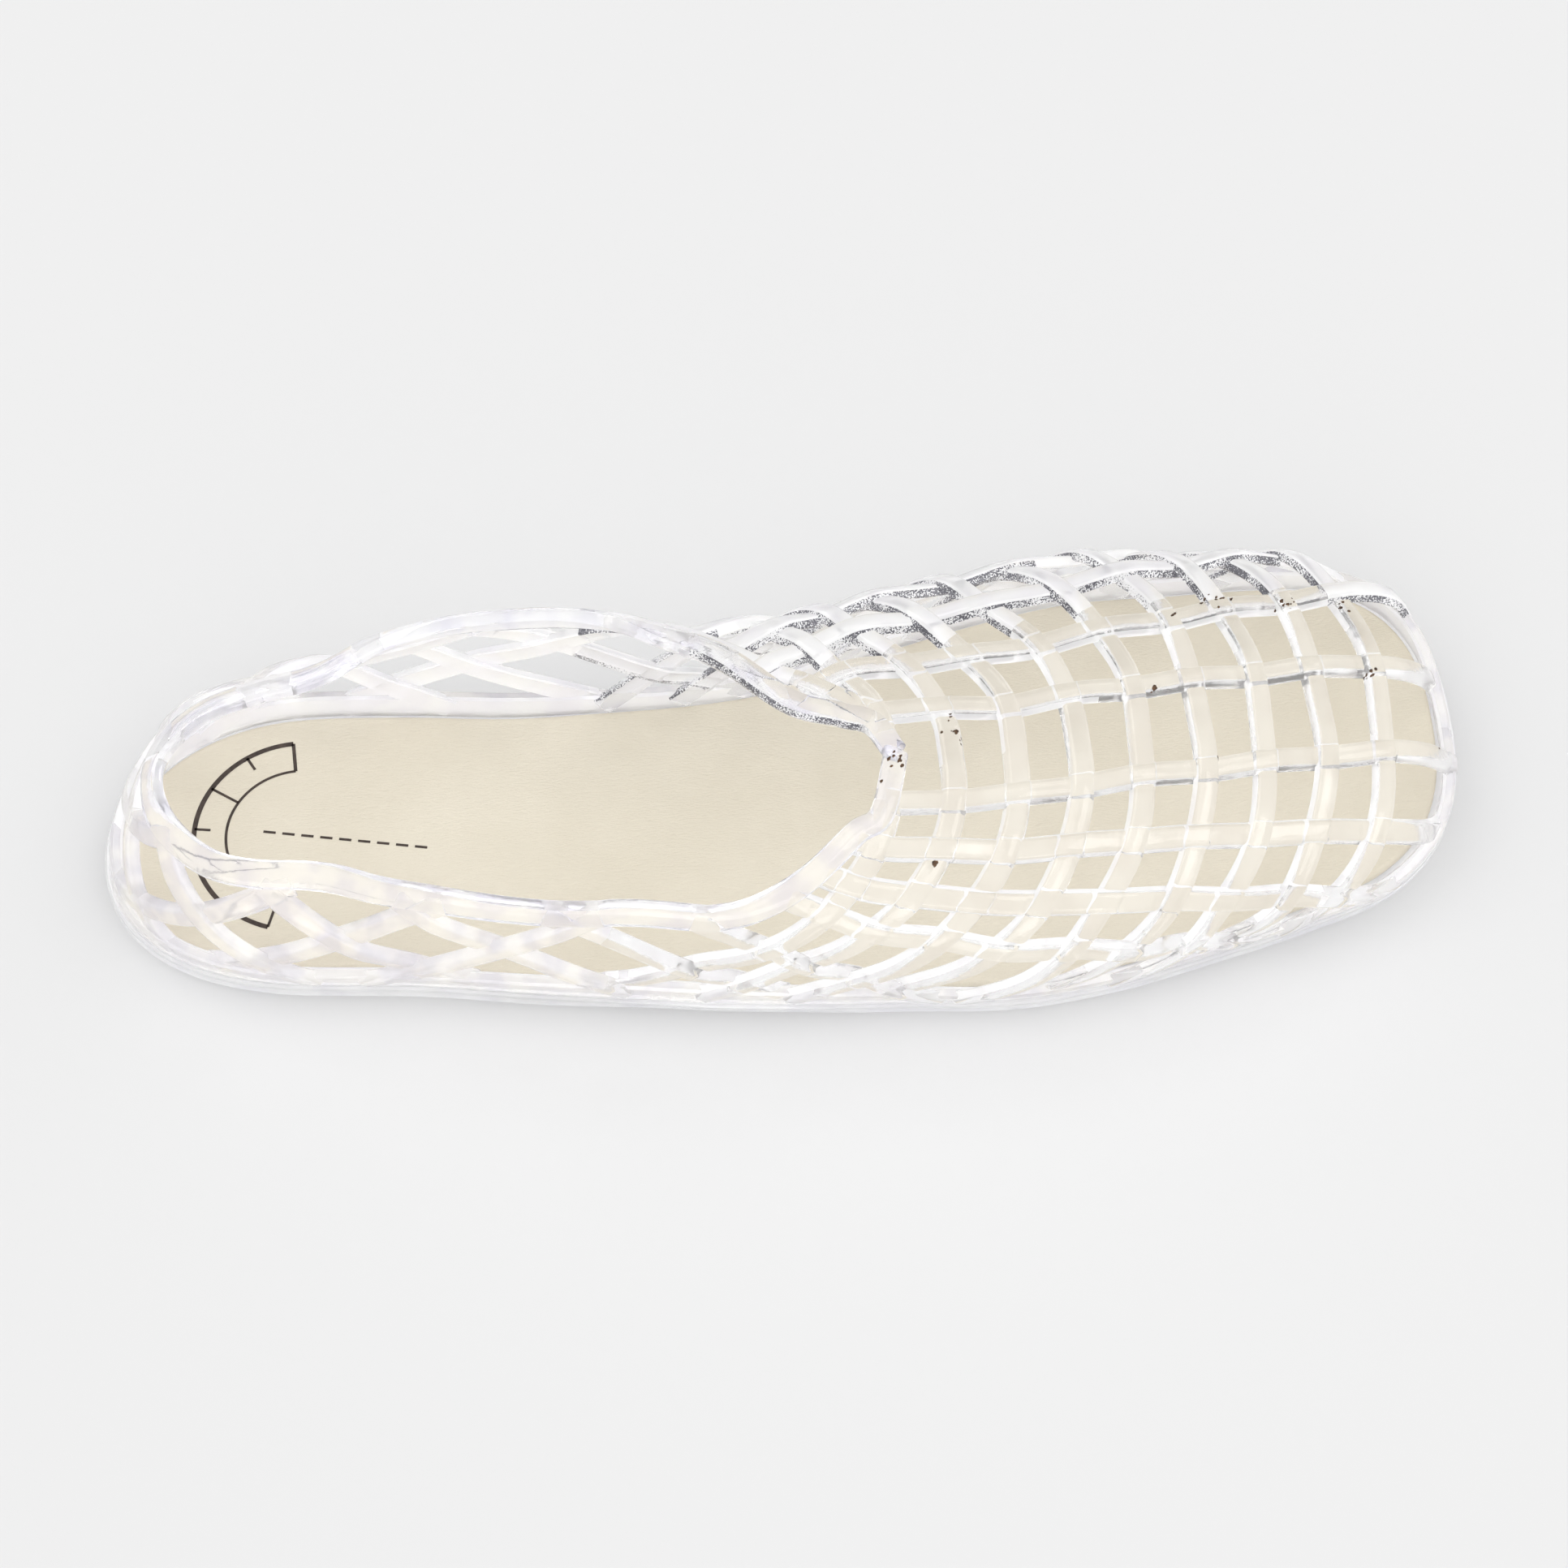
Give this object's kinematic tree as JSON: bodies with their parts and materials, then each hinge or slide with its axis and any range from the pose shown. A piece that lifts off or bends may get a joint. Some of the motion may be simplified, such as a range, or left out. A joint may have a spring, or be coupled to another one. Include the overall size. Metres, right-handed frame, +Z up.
{
  "type": "openwork moulded slip-on shoe",
  "caption": "Clear moulded slip-on flat with a woven-look openwork upper, closed squarish toe and heel, smooth collar rim, ribbed sole and a flat padded insole",
  "frame": {"origin": "centre of the shoe's outline, on the ground under the sole", "axes": "+X to the toe, +Y to the inner (medial) side, +Z up"},
  "size_m": [0.2536, 0.0918, 0.0474],
  "materials": {
    "clear_upper": "clear soft moulded plastic with a wet gloss",
    "clear_sole": "clear soft moulded plastic, slightly hazy",
    "insole_cover": "cream imitation leather with a fine crosswise grain, matt"
  },
  "bodies": {
    "root": {"upper": "clear_upper", "outsole": "clear_sole", "insole": "insole_cover"}
  },
  "joints": []
}
